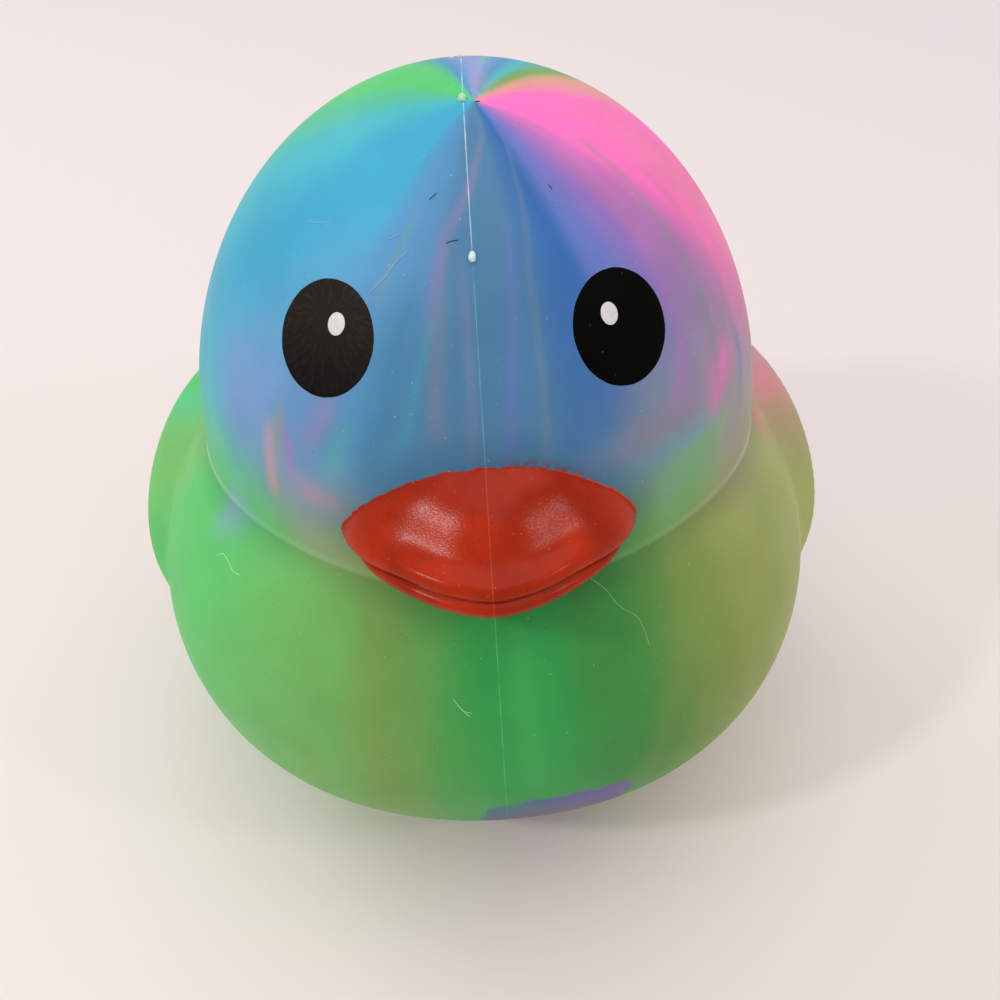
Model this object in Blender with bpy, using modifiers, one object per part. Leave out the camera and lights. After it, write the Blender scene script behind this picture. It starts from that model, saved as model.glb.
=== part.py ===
"""A chubby bath duck: one hollow rubber moulding with a push-in squeaker in its base.

Metres, +Z up. The duck faces -Y and stands on z = 0. The origin is on the floor,
under the middle of the duck's overall length.
"""

import math

import bmesh
import bpy
from mathutils import Matrix, Vector

# Head: a tall egg, sunk about a third into the body
HEAD_WIDTH = 0.0600
HEAD_LENGTH = 0.0584
HEAD_HEIGHT = 0.0735
HEAD_FORWARD = 0.0030
HEAD_CENTRE_HEIGHT = 0.0506

# Body: a broad egg, filled out towards the foot, that the floor cuts flat
BODY_WIDTH = 0.0757
BODY_LENGTH = 0.0708
BODY_HEIGHT = 0.0630
BODY_FORWARD = 0.0048
BODY_CENTRE_HEIGHT = 0.0313
BODY_SQUARENESS = 0.03
CORE_HEIGHT = 0.0420
NECK_FILLET = 0.0030
FOOT_FULLNESS = 0.11
FOOT_DIRECTION = math.radians(66)
FOOT_SPREAD = math.radians(18)
FOOT_ROUNDING = 0.0016

# Tail: a short point that turns up behind, drawn out of the body
TAIL_LENGTH = 0.0135
TAIL_RISE = math.radians(8)
TAIL_SPREAD = math.radians(21)
TAIL_THICKNESS = math.radians(12)
TAIL_CURL = 0.35

# Wings: pads raised off the flanks, blunt and low in front, narrower and higher behind
WING_LENGTH = 0.0420
WING_HEIGHT = 0.0240
WING_RAISE = 0.0016
WING_LEAN = 5.0
WING_INNER_EDGE = 0.0080
WING_BACK = 0.0035
WING_CENTRE_HEIGHT = 0.0360
WING_RISE = math.radians(30)
WING_REAR_TAPER = 0.40

# Bill: a flared upper bill over a thinner, slightly longer lower one
BILL_WIDTH = 0.0264
BILL_REACH = 0.0111
BILL_ROOT_FORWARD = 0.0283
BILL_ROOT_DEPTH = 0.0050
BILL_MOUTH_HEIGHT = 0.0580
BILL_OUTLINE_POWER = 1.65
UPPER_BILL_RISE = 0.0073
UPPER_LIP_THICKNESS = 0.0015
LOWER_LIP_OVERHANG = 0.0007
LOWER_BILL_DEPTH = 0.0036
MOUTH_GROOVE = 0.0007

# Wall and base
WALL = 0.0022
RECESS_RADIUS = 0.0115
RECESS_DEPTH = 0.0014
SEAT_CLEARANCE = 0.0003

# Squeaker: a flanged spool that grips the edge of the base hole
SQUEAKER_WAIST_RADIUS = 0.0060
SQUEAKER_FLANGE_RADIUS = 0.0080
SQUEAKER_FLANGE_THICKNESS = 0.0008
SQUEAKER_BARREL_RADIUS = 0.0056
SQUEAKER_BARREL_LENGTH = 0.0062
SQUEAKER_AIR_HOLE_RADIUS = 0.0011

# Facets
SKIN_SEGMENTS = 64
SKIN_RINGS = 48
CAVITY_SEGMENTS = 36
CAVITY_RINGS = 28
WING_SEGMENTS = 44
BILL_SEGMENTS = 36
ROUND_SEGMENTS = 48
ROUND_TURN = math.pi / math.lcm(SKIN_SEGMENTS, ROUND_SEGMENTS)
PASS = 0.002
SHARP_ANGLE = math.radians(50)

MARBLED_GREEN = (0.075, 0.530, 0.135, 1.0)
BILL_ORANGE = (0.610, 0.060, 0.020, 1.0)
SQUEAKER_WHITE = (0.800, 0.790, 0.760, 1.0)

HEAD_CENTRE = Vector((0, -HEAD_FORWARD, HEAD_CENTRE_HEIGHT))
BODY_CENTRE = Vector((0, -BODY_FORWARD, BODY_CENTRE_HEIGHT))
CORE = Vector((0, -BODY_FORWARD, CORE_HEIGHT))

# The body's underside is the floor, or the bottom of its egg if that hangs clear of the floor
UNDERSIDE = max(0.0, BODY_CENTRE_HEIGHT - BODY_HEIGHT / 2)
SEAT_HEIGHT = UNDERSIDE + RECESS_DEPTH


def clear_scene():
    """Removes whatever the startup file holds."""
    for obj in list(bpy.data.objects):
        bpy.data.objects.remove(obj, do_unlink=True)


def make_collection(name):
    """A new collection in the scene."""
    collection = bpy.data.collections.new(name)
    bpy.context.scene.collection.children.link(collection)
    return collection


def make_material(name, colour, roughness):
    """A plain Principled material; none of these surfaces is metal."""
    material = bpy.data.materials.new(name)
    material.diffuse_color = colour
    material.use_nodes = True
    shader = material.node_tree.nodes["Principled BSDF"]
    shader.inputs["Base Color"].default_value = colour
    shader.inputs["Roughness"].default_value = roughness
    shader.inputs["Metallic"].default_value = 0.0
    return material


def make_object(name, bm, collection, material):
    """Turns a bmesh into a smooth-shaded object of its own."""
    mesh = bpy.data.meshes.new(name)
    bm.to_mesh(mesh)
    bm.free()
    mesh.shade_smooth()
    mesh.set_sharp_from_angle(angle=SHARP_ANGLE)
    mesh.materials.append(material)
    obj = bpy.data.objects.new(name, mesh)
    collection.objects.link(obj)
    return obj


def hide_as_helper(obj):
    """Marks an object that only shapes another."""
    obj.hide_render = True
    obj.display_type = "WIRE"
    return obj


def add_boolean(target, helper, operation):
    """Joins a helper to the target, or cuts it away."""
    modifier = target.modifiers.new(f"{operation.lower()}_{helper.name}", "BOOLEAN")
    modifier.operation = operation
    modifier.solver = "EXACT"
    modifier.material_mode = "TRANSFER"
    modifier.object = hide_as_helper(helper)


def egg_reach(direction, centre, size):
    """Distance from CORE to the far side of an egg along a direction, or 0 if it misses."""
    offset = CORE - centre
    start = Vector([offset[i] / size[i] * 2 for i in range(3)])
    step = Vector([direction[i] / size[i] * 2 for i in range(3)])
    along = start.dot(step)
    inside = along * along - step.dot(step) * (start.dot(start) - 1)
    if inside < 0:
        return 0.0
    return max(0.0, (math.sqrt(inside) - along) / step.dot(step))


def blend_out(a, b, fillet):
    """The longer of two reaches, with a fillet where they are nearly equal."""
    share = min(1.0, max(0.0, 0.5 + 0.5 * (a - b) / fillet))
    return b + (a - b) * share + fillet * share * (1 - share)


def tail_reach(direction):
    """How much further the tail stands out than the body in a direction."""
    spread = math.atan2(direction.x, direction.y) / TAIL_SPREAD
    rise = math.asin(direction.z) - TAIL_RISE * (1 - TAIL_CURL * spread * spread)
    return TAIL_LENGTH * math.exp(-spread * spread - (rise / TAIL_THICKNESS) ** 2)


def skin_reach(direction, inset):
    """How far the duck's skin, or the cavity an inset below it, lies from CORE."""
    shrink = Vector((inset, inset, inset)) * 2
    head = egg_reach(direction, HEAD_CENTRE, Vector((HEAD_WIDTH, HEAD_LENGTH, HEAD_HEIGHT)) - shrink)
    body = egg_reach(direction, BODY_CENTRE, Vector((BODY_WIDTH, BODY_LENGTH, BODY_HEIGHT)) - shrink)
    corner = 2 * math.atan2(direction.x, direction.y)
    body *= 1 + BODY_SQUARENESS * math.sin(corner) ** 2 * (1 - direction.z**2)
    reach = blend_out(head, body, NECK_FILLET)
    if direction.z < 0:
        down = (math.asin(-direction.z) - FOOT_DIRECTION) / FOOT_SPREAD
        reach *= 1 + FOOT_FULLNESS * math.exp(-down * down)
        floor = (CORE.z - inset) / -direction.z
        reach = -blend_out(-reach, -floor, FOOT_ROUNDING)
    if inset == 0:
        reach += tail_reach(direction)
    return reach


def skin_form(segments, rings, inset):
    """Head, body and tail as one sphere drawn out to the skin."""
    bm = bmesh.new()
    bmesh.ops.create_uvsphere(bm, u_segments=segments, v_segments=rings, radius=1.0)
    for vert in bm.verts:
        direction = vert.co.normalized()
        vert.co = CORE + direction * skin_reach(direction, inset)
    return bm


def wing_skin():
    """The skin raised all round, leaning outwards with height, from which a wing is cut."""
    bm = skin_form(SKIN_SEGMENTS, SKIN_RINGS, -WING_RAISE)
    for vert in bm.verts:
        vert.co.x *= 1 + WING_LEAN * (vert.co.z - WING_CENTRE_HEIGHT)
    return bm


def wing_outline(side):
    """A sideways prism with the wing's outline: an egg, narrowed behind and lifted."""
    bm = bmesh.new()
    ring = bmesh.ops.create_circle(bm, segments=WING_SEGMENTS, radius=1.0)["verts"]
    for vert in ring:
        narrow = 1 - WING_REAR_TAPER * max(0.0, vert.co.x) ** 2
        vert.co = Vector((0, vert.co.x * WING_LENGTH / 2, vert.co.y * narrow * WING_HEIGHT / 2))
    bmesh.ops.rotate(bm, cent=(0, 0, 0), matrix=Matrix.Rotation(WING_RISE, 3, "X"), verts=ring)
    place = Vector((side * WING_INNER_EDGE, WING_BACK, WING_CENTRE_HEIGHT))
    bmesh.ops.translate(bm, vec=place, verts=ring)
    face = bm.faces.new(ring)
    extruded = bmesh.ops.extrude_face_region(bm, geom=[face])["geom"]
    far_ring = [item for item in extruded if isinstance(item, bmesh.types.BMVert)]
    bmesh.ops.translate(bm, vec=(side * BODY_WIDTH, 0, 0), verts=far_ring)
    bmesh.ops.recalc_face_normals(bm, faces=bm.faces)
    return bm


def bill_stations(inset):
    """(share of the reach, height above the mouth) from the bill's top, round its lips, to its underside."""
    rise = UPPER_BILL_RISE - inset
    lip = UPPER_LIP_THICKNESS
    upper_edge = 1 - LOWER_LIP_OVERHANG / BILL_REACH
    groove = upper_edge - MOUTH_GROOVE / BILL_REACH
    depth = LOWER_BILL_DEPTH - inset
    slope = [(0.0, rise), (0.22, rise * 0.93), (0.42, rise * 0.76), (0.60, rise * 0.53), (0.75, rise * 0.33)]
    if inset > 0:
        return slope + [(0.92, 0.0), (0.75, -depth * 0.6), (0.4, -depth), (0.0, -depth)]
    flare = [(0.86, lip * 1.20), (0.94, lip * 1.06), (upper_edge, lip * 0.66), (upper_edge, lip * 0.25)]
    mouth = [(groove, 0.0)]
    lower = [(0.99, -depth * 0.10), (1.0, -depth * 0.26), (0.96, -depth * 0.55), (0.80, -depth * 0.86)]
    return slope + flare + mouth + lower + [(0.5, -depth), (0.0, -depth)]


def bill_outline(angle, inset):
    """A point of the bill's outline seen from above; angle 0 is its tip."""
    power = 2 / BILL_OUTLINE_POWER
    across = math.copysign(abs(math.sin(angle)) ** power, math.sin(angle))
    forward = abs(math.cos(angle)) ** power
    reach = BILL_REACH - inset if math.cos(angle) > 0 else -BILL_ROOT_DEPTH
    return Vector((across * (BILL_WIDTH / 2 - inset), -forward * reach, 0))


def bill_form(inset):
    """Rings stacked from the bill's top to its underside and bridged."""
    bm = bmesh.new()
    root = Vector((0, -BILL_ROOT_FORWARD, BILL_MOUTH_HEIGHT))
    stations = bill_stations(inset)
    rings = []
    for share, height in stations[1:-1]:
        ring = bmesh.ops.create_circle(bm, segments=BILL_SEGMENTS, radius=1.0)["verts"]
        for number, vert in enumerate(ring):
            outline = bill_outline(2 * math.pi * number / BILL_SEGMENTS, inset)
            vert.co = root + outline * share + Vector((0, 0, height))
        rings.append(ring)
    loops = [[bm.edges.get((ring[i - 1], ring[i])) for i in range(BILL_SEGMENTS)] for ring in rings]
    for upper, lower in zip(loops, loops[1:]):
        bmesh.ops.bridge_loops(bm, edges=upper + lower)
    for ring, (_, height) in ((rings[0], stations[0]), (rings[-1], stations[-1])):
        face = bm.faces.new(ring)
        pole = bmesh.ops.poke(bm, faces=[face])["verts"][0]
        pole.co = root + Vector((0, 0, height))
    bmesh.ops.recalc_face_normals(bm, faces=bm.faces)
    return bm


def cylinder_form(radius, low, high):
    """An upright cylinder under the middle of the body, turned so that its corners clear the skin's own."""
    bm = bmesh.new()
    bmesh.ops.create_cone(
        bm, cap_ends=True, segments=ROUND_SEGMENTS, radius1=radius, radius2=radius, depth=high - low
    )
    bmesh.ops.rotate(bm, cent=(0, 0, 0), matrix=Matrix.Rotation(ROUND_TURN, 3, "Z"), verts=bm.verts)
    bmesh.ops.translate(bm, vec=(0, BODY_CENTRE.y, (low + high) / 2), verts=bm.verts)
    return bm


def make_body(duck, helpers, paints):
    """The moulding: skin, wings and bill, hollowed, with its squeaker hole."""
    rubber = paints["rubber"]
    body = make_object("duck_body", skin_form(SKIN_SEGMENTS, SKIN_RINGS, 0.0), duck, rubber)
    cavity = make_object("cavity", skin_form(CAVITY_SEGMENTS, CAVITY_RINGS, WALL), helpers, rubber)
    for side, name in ((1, "left"), (-1, "right")):
        pad = make_object(f"wing_{name}", wing_skin(), helpers, rubber)
        outline = make_object(f"wing_outline_{name}", wing_outline(side), helpers, rubber)
        add_boolean(pad, outline, "INTERSECT")
        add_boolean(body, pad, "UNION")
    add_boolean(body, make_object("bill", bill_form(0.0), helpers, paints["bill"]), "UNION")
    add_boolean(cavity, make_object("bill_hollow", bill_form(WALL), helpers, rubber), "UNION")
    boss_form = cylinder_form(RECESS_RADIUS + WALL, -PASS, SEAT_HEIGHT + WALL)
    boss = make_object("base_boss", boss_form, helpers, rubber)
    add_boolean(cavity, boss, "DIFFERENCE")
    add_boolean(body, cavity, "DIFFERENCE")
    recess = make_object("base_recess", cylinder_form(RECESS_RADIUS, -PASS, SEAT_HEIGHT), helpers, rubber)
    add_boolean(body, recess, "DIFFERENCE")
    hole_radius = SQUEAKER_WAIST_RADIUS + SEAT_CLEARANCE
    hole_top = SEAT_HEIGHT + WALL + PASS
    hole = make_object("squeaker_hole", cylinder_form(hole_radius, -PASS, hole_top), helpers, rubber)
    add_boolean(body, hole, "DIFFERENCE")
    return body


def squeaker_profile():
    """(radius, height) down the outside of the squeaker, then up its air hole and barrel."""
    seat_low = SEAT_HEIGHT - SEAT_CLEARANCE
    seat_high = SEAT_HEIGHT + WALL + SEAT_CLEARANCE
    face = seat_low - SQUEAKER_FLANGE_THICKNESS
    shoulder = seat_high + SQUEAKER_FLANGE_THICKNESS
    top = seat_high + SQUEAKER_BARREL_LENGTH
    floor = seat_low + SQUEAKER_FLANGE_THICKNESS
    bore = SQUEAKER_BARREL_RADIUS - SQUEAKER_FLANGE_THICKNESS
    return [
        (bore, top),
        (SQUEAKER_BARREL_RADIUS, top),
        (SQUEAKER_BARREL_RADIUS, shoulder),
        (SQUEAKER_FLANGE_RADIUS - SQUEAKER_FLANGE_THICKNESS, shoulder),
        (SQUEAKER_FLANGE_RADIUS, seat_high),
        (SQUEAKER_WAIST_RADIUS, seat_high),
        (SQUEAKER_WAIST_RADIUS, seat_low),
        (SQUEAKER_FLANGE_RADIUS, seat_low),
        (SQUEAKER_FLANGE_RADIUS, face),
        (SQUEAKER_AIR_HOLE_RADIUS, face),
        (SQUEAKER_AIR_HOLE_RADIUS, floor),
        (bore, floor),
    ]


def make_squeaker(duck, plastic):
    """A turned spool: flange, waist, inner flange and barrel, with an air hole."""
    bm = bmesh.new()
    points = [bm.verts.new((radius, 0, height)) for radius, height in squeaker_profile()]
    for i in range(len(points)):
        bm.edges.new((points[i - 1], points[i]))
    squeaker = make_object("squeaker", bm, duck, plastic)
    squeaker.location.y = BODY_CENTRE.y
    screw = squeaker.modifiers.new("turn", "SCREW")
    screw.steps = ROUND_SEGMENTS
    screw.render_steps = ROUND_SEGMENTS
    screw.use_merge_vertices = True
    screw.merge_threshold = 0.00001
    return squeaker


def main():
    clear_scene()
    duck = make_collection("rubber_duck")
    helpers = make_collection("helpers")
    paints = {
        "rubber": make_material("marbled_rubber", MARBLED_GREEN, 0.50),
        "bill": make_material("bill_paint", BILL_ORANGE, 0.38),
    }
    make_body(duck, helpers, paints)
    make_squeaker(duck, make_material("squeaker_plastic", SQUEAKER_WHITE, 0.35))


main()
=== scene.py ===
import math

import bmesh
import bpy
import numpy as np
from mathutils import Matrix, Vector
from mathutils.bvhtree import BVHTree


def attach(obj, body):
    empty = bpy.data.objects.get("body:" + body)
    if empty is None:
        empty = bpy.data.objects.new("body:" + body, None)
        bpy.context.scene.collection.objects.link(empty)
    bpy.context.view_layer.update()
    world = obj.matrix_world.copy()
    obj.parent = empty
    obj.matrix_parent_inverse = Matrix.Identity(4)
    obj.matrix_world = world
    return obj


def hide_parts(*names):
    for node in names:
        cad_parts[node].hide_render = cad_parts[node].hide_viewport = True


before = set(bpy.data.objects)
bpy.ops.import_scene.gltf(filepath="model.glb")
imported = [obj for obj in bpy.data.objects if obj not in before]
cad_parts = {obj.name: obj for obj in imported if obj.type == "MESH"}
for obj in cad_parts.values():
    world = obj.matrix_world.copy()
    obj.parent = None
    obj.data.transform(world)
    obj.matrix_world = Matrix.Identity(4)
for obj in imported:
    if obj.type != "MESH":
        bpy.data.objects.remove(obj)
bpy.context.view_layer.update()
print("frame loaded")

mm = 0.001


def linear(hexColour):
    channels = [int(hexColour[i : i + 2], 16) / 255 for i in (1, 3, 5)]
    return [c / 12.92 if c <= 0.04045 else ((c + 0.055) / 1.055) ** 2.4 for c in channels] + [1.0]


def addNode(tree, kind, settings=None, links=None):
    # settings: node property or input name/number -> value; links: input -> output socket
    node = tree.nodes.new(kind)
    for key, value in (settings or {}).items():
        if isinstance(key, str) and hasattr(node, key):
            setattr(node, key, value)
        else:
            node.inputs[key].default_value = value
    for key, socket in (links or {}).items():
        tree.links.new(socket, node.inputs[key])
    return node


def newMaterial(name):
    material = bpy.data.materials.new(name)
    material.use_nodes = True
    return material, material.node_tree, material.node_tree.nodes["Principled BSDF"]


def newPiece(name, bm, material):
    mesh = bpy.data.meshes.new(name)
    bm.to_mesh(mesh)
    bm.free()
    mesh.shade_smooth()
    mesh.materials.append(material)
    piece = bpy.data.objects.new(name, mesh)
    bpy.context.scene.collection.objects.link(piece)
    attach(piece, "root")
    return piece


skinForm = {
    "headSize": (60.0, 58.4, 73.5),
    "headCentre": (0.0, -3.0, 50.6),
    "bodySize": (75.7, 70.8, 63.0),
    "bodyCentre": (0.0, -4.8, 31.3),
    "core": (0.0, -4.8, 42.0),
    "neckFillet": 1.0,
    "squareness": 0.03,
    "footFullness": 0.10,
    "footDirection": 70.0,
    "footSpread": 14.0,
    "footRounding": 4.8,
    "footSink": 0.15,
    "tailLength": 13.5,
    "tailRise": 8.0,
    "tailSpread": 21.0,
    "tailThickness": 12.0,
    "tailCurl": 0.35,
    "recessRadius": 11.5,
    "recessDepth": 1.4,
    "recessSteepness": 0.9,
    "segments": 340,
    "rings": 286,
}
wingForm = {
    "length": 39.0,
    "height": 24.5,
    "raise": 2.3,
    "lean": 0.0050,
    "innerEdge": 8.0,
    "back": 5.0,
    "centreHeight": 36.0,
    "rise": 30.0,
    "rearTaper": 0.40,
    "edgeWidth": 3.0,
}
core = np.array(skinForm["core"])


def eggReach(aim, centre, size):
    # distance from the core to the far side of an egg, 0 where it misses
    offset = core - np.array(centre)
    start = offset / np.array(size) * 2
    step = aim / np.array(size) * 2
    along = step @ start
    stepSquare = (step * step).sum(axis=-1)
    inside = along**2 - stepSquare * (start @ start - 1)
    return np.where(inside > 0, (np.sqrt(np.maximum(inside, 0)) - along) / stepSquare, 0.0)


def blendOut(a, b, fillet):
    share = np.clip(0.5 + 0.5 * (a - b) / fillet, 0, 1)
    return b + (a - b) * share + fillet * share * (1 - share)


def smoothStep(low, high, value):
    t = np.clip((value - low) / (high - low), 0, 1)
    return t * t * (3 - 2 * t)


def headAndBody(aim):
    # how far the head and the body each reach from the core
    f = skinForm
    head = eggReach(aim, f["headCentre"], f["headSize"])
    body = eggReach(aim, f["bodyCentre"], f["bodySize"])
    azimuth = np.arctan2(aim[..., 0], aim[..., 1])
    return head, body * (1 + f["squareness"] * np.sin(2 * azimuth) ** 2 * (1 - aim[..., 2] ** 2))


def skinPoints(aim):
    # points of the skin, in millimetres, in the given unit directions from the core
    f, w = skinForm, wingForm
    head, body = headAndBody(aim)
    azimuth = np.arctan2(aim[..., 0], aim[..., 1])
    elevation = np.arcsin(np.clip(aim[..., 2], -1, 1))
    reach = blendOut(head, body, f["neckFillet"])
    down = (-elevation - math.radians(f["footDirection"])) / math.radians(f["footSpread"])
    full = reach * (1 + f["footFullness"] * np.exp(-down * down))
    floor = (core[2] + f["footSink"]) / np.maximum(-aim[..., 2], 1e-3)
    reach = np.where(aim[..., 2] < 0, -blendOut(-full, -floor, f["footRounding"]), reach)
    spread = azimuth / math.radians(f["tailSpread"])
    rise = elevation - math.radians(f["tailRise"]) * (1 - f["tailCurl"] * spread**2)
    tail = np.exp(-(spread**2) - (rise / math.radians(f["tailThickness"])) ** 2)
    reach = reach + f["tailLength"] * tail
    point = core + aim * reach[..., None]
    # wings: raised pads, most proud at the top
    lift = math.radians(w["rise"])
    halfLength, halfHeight = w["length"] / 2, w["height"] / 2
    rearward = point[..., 1] - w["back"]
    upward = point[..., 2] - w["centreHeight"]
    along = rearward * math.cos(lift) + upward * math.sin(lift)
    above = upward * math.cos(lift) - rearward * math.sin(lift)
    narrow = 1 - w["rearTaper"] * np.clip(along / halfLength, 0, 1) ** 2
    gauge = np.hypot(along / halfLength, above / (halfHeight * narrow))
    onPad = 1 - smoothStep(1 - w["edgeWidth"] / halfHeight, 1.0, gauge)
    onPad = onPad * (np.abs(point[..., 0]) > w["innerEdge"])
    proud = w["raise"] + w["lean"] * np.abs(point[..., 0]) * upward
    point = point + aim * (np.maximum(proud, 0) * onPad)[..., None]
    # the recess under the base
    radius = np.hypot(point[..., 0] - core[0], point[..., 1] - core[1])
    underside = (aim[..., 2] < -f["recessSteepness"]) & (radius < f["recessRadius"])
    point[..., 2] = np.where(underside, f["recessDepth"], np.maximum(point[..., 2], 0))
    return point


def dropOnSkin(points, proud):
    # moves points, in millimetres, along their rays onto the skin, plus a height
    aim = np.array(points, float) - core
    aim /= np.linalg.norm(aim, axis=-1, keepdims=True)
    return skinPoints(aim) + aim * np.array(proud)[..., None]


def readCo(mesh):
    co = np.empty(len(mesh.vertices) * 3)
    mesh.vertices.foreach_get("co", co)
    return co.reshape(-1, 3)


def writeCo(mesh, co):
    mesh.vertices.foreach_set("co", np.asarray(co, float).ravel())
    mesh.update()


# Soft PVC bath-toy rubber, slush moulded: pigments poured in at the crown run down in
# streams. Matt, faintly see-through, with a bloom of dust on it.
pigments = {
    "spring": "#55C56E",
    "jade": "#4FB993",
    "teal": "#45B3BC",
    "cyan": "#3CA4C8",
    "azure": "#4E90BC",
    "slate": "#4D7CA2",
    "petrol": "#3F7FA0",
    "cobalt": "#2F66AA",
    "indigo": "#6674BC",
    "violet": "#8C70BA",
    "orchid": "#B36EB5",
    "pink": "#FF70BE",
    "rose": "#E2879C",
    "salmon": "#D99A86",
    "mauve": "#A67FA8",
    "umber": "#8F8396",
    "lilac": "#8C97CC",
    "ash": "#A0929A",
    "smoke": "#7C8B92",
    "leaf": "#5CC266",
    "grass": "#6CB660",
    "moss": "#73A04F",
    "emerald": "#2F9D4A",
    "forest": "#3C8C40",
    "olive": "#7C9346",
    "khaki": "#939E52",
    "straw": "#A3AB62",
}

# (azimuth, pigment) in the order met round the gate, from behind; azimuths are degrees from
# the front, + to +X
headRing = [
    (-180, "lilac"),
    (-165, "azure"),
    (-148, "spring"),
    (-124, "spring"),
    (-106, "jade"),
    (-90, "teal"),
    (-62, "cyan"),
    (-44, "cyan"),
    (-29, "azure"),
    (-8, "slate"),
    (8, "slate"),
    (24, "cobalt"),
    (36, "indigo"),
    (46, "violet"),
    (57, "orchid"),
    (74, "pink"),
    (108, "pink"),
    (127, "salmon"),
    (140, "moss"),
    (150, "teal"),
    (162, "azure"),
    (172, "lilac"),
]
bodyRing = [
    (-180, "violet"),
    (-158, "mauve"),
    (-140, "khaki"),
    (-124, "spring"),
    (-100, "spring"),
    (-62, "leaf"),
    (-44, "grass"),
    (-24, "moss"),
    (-3, "emerald"),
    (9, "emerald"),
    (18, "forest"),
    (26, "forest"),
    (42, "olive"),
    (58, "khaki"),
    (84, "straw"),
    (104, "moss"),
    (124, "teal"),
    (144, "cobalt"),
    (162, "indigo"),
]

# soft patches where one pour runs into the next: (pigment, azimuth, elevation, half width,
# half height, lean, strength); elevations are degrees above the core, lean is degrees of
# azimuth for each degree climbed
pours = [
    ("lilac", -56, 44, 14, 8, 0.0, 0.65),
    ("lilac", -34, 62, 9, 10, 0.3, 0.10),
    ("lilac", -50, 58, 9, 7, 0.0, 0.22),
    ("azure", -40, 42, 16, 8, 0.0, 0.45),
    ("cobalt", 22, 52, 9, 12, 0.0, 0.55),
    ("slate", 2, 46, 16, 8, 0.0, 0.45),
    ("petrol", -18, 49, 9, 10, 0.0, 0.35),
    ("petrol", 4, 38, 18, 4, 0.0, 0.60),
    ("mauve", 66, 58, 8, 12, 0.0, 0.35),
    ("salmon", 96, 60, 10, 14, 0.0, 0.30),
    ("violet", 58, 48, 9, 8, 0.0, 0.40),
    ("ash", 66, 39, 22, 12, 0.0, 0.75),
    ("smoke", 40, 38, 10, 8, 0.0, 0.75),
    ("pink", 84, 48, 9, 9, 0.0, 0.32),
    ("pink", 60, 39, 6, 3, 0.8, 0.35),
    ("leaf", 47, 26, 10, 4, 0.0, 0.35),
    ("ash", -38, 33, 12, 6, 0.0, 0.45),
    ("ash", -38, 24, 8, 3, 0.0, 0.35),
    ("khaki", -34, 25, 9, 4, 0.0, 0.35),
    ("grass", 38, 25, 9, 4, 0.0, 0.30),
    ("ash", 76, 24, 14, 8, 0.0, 0.55),
    ("jade", -72, 23, 16, 6, 0.0, 0.45),
    ("teal", -80, 40, 8, 10, 0.0, 0.45),
    ("spring", -63, 22, 4, 2.2, -1.0, 0.60),
    ("rose", -37, 35.4, 3.2, 1.6, 0.0, 0.26),
    ("umber", 40, 38.6, 13, 2.2, 0.0, 0.50),
    ("teal", 44, 34.4, 12, 1.8, 0.0, 0.26),
    ("grass", 49, 31.0, 12, 1.9, 0.0, 0.42),
    ("lilac", -65, 17, 4, 5, 0.4, 0.50),
    ("teal", -105, 14, 5, 8, 0.0, 0.25),
    ("straw", -96, 6, 8, 12, 0.0, 0.34),
    ("rose", 90, 13, 4, 3.5, 0.0, 0.55),
    ("rose", 106, 11, 10, 12, 0.0, 0.85),
    ("rose", -150, 30, 18, 12, 0.5, 0.60),
    ("jade", 168, 8, 14, 16, -0.4, 0.55),
    ("khaki", 110, 34, 14, 9, 0.0, 0.50),
    ("lilac", 128, -4, 12, 20, 0.3, 0.45),
]

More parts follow.
